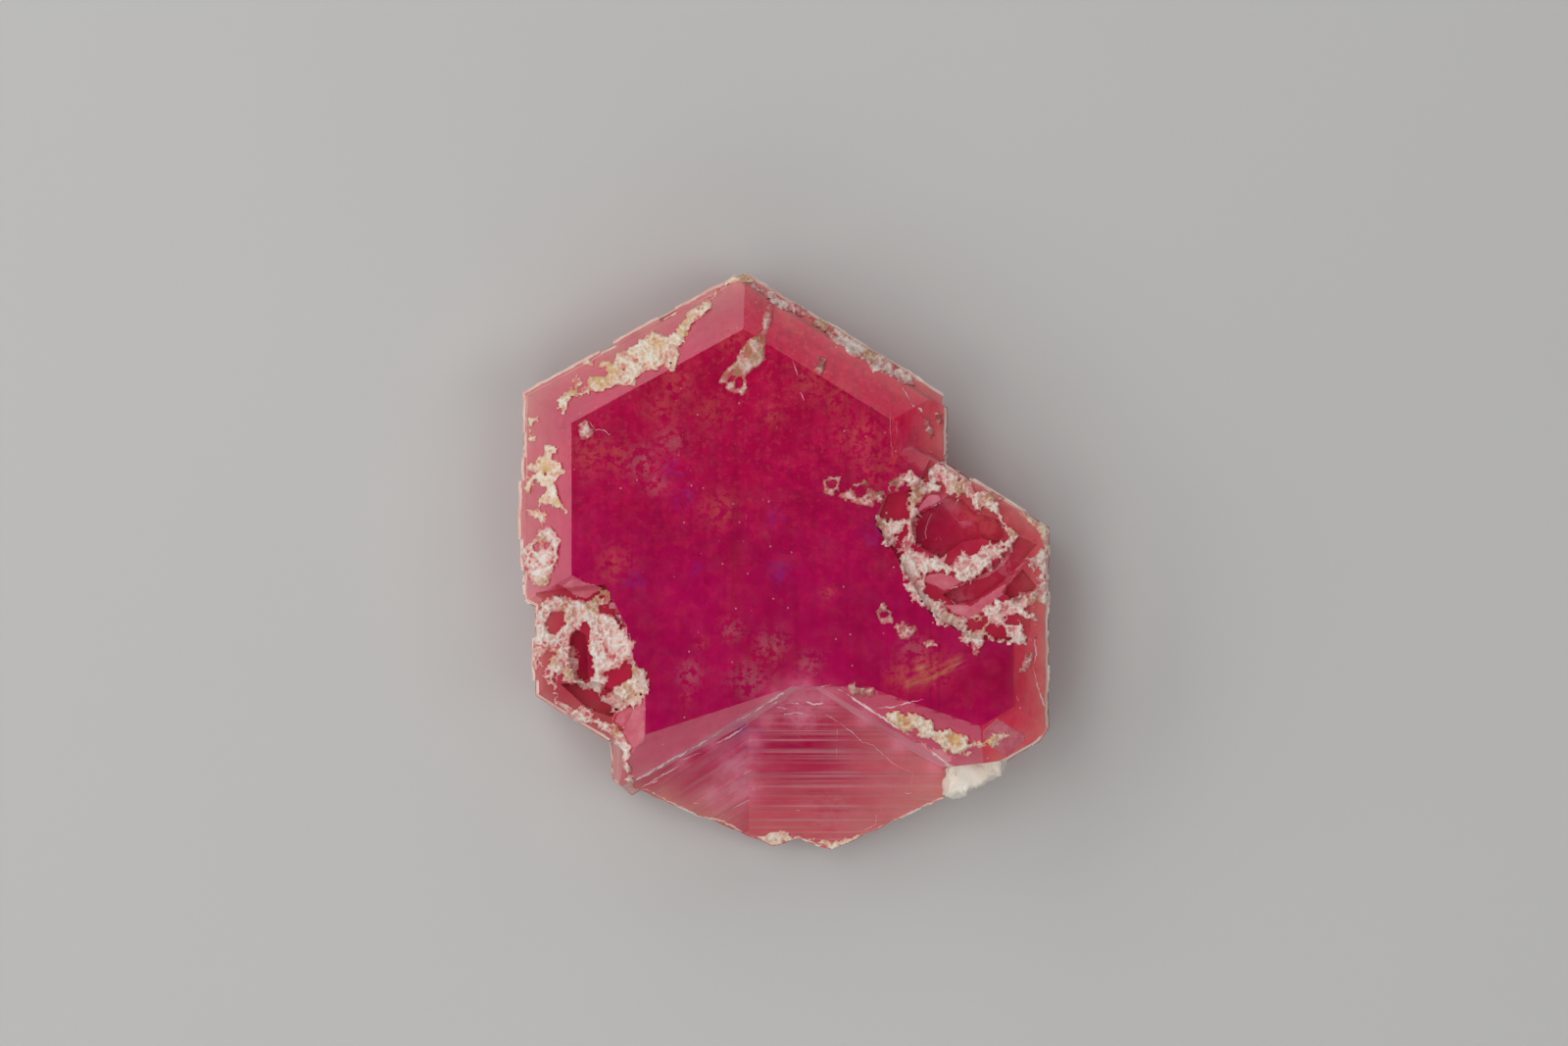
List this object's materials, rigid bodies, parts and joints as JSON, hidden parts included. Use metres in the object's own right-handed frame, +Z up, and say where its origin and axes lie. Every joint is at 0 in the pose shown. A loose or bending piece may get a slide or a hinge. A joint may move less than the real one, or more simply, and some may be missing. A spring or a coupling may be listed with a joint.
{
  "type": "pezzottaite crystal",
  "caption": "Flat hexagonal raspberry-red pezzottaite crystal group with bevelled rims, etched hollows, a stepped face and patches of white crust",
  "frame": {"origin": "middle of the bounding box at its bottom, on the lower basal face", "axes": "+Z up, out of the upper basal face; +Y towards the crystal's top corner in the picture; +X to its right"},
  "size_m": [0.0436, 0.0476, 0.0129],
  "materials": {
    "crystal": "clear raspberry-red crystal, glassy, cloudy inside",
    "crust": "dull, grainy",
    "matrix": "dull, broken"
  },
  "bodies": {
    "root": {"pezzottaite_crystal": "crystal", "crust_upper_left": "crust", "crust_left_upper": "crust", "crust_left_lower": "crust", "crust_lower_left": "crust", "crust_right_outer": "crust", "crust_right_inner": "crust", "crust_lower_right": "crust", "crust_upper_right": "crust", "crust_cap": "crust", "crust_vein": "crust", "matrix_chip": "matrix"}
  },
  "joints": []
}
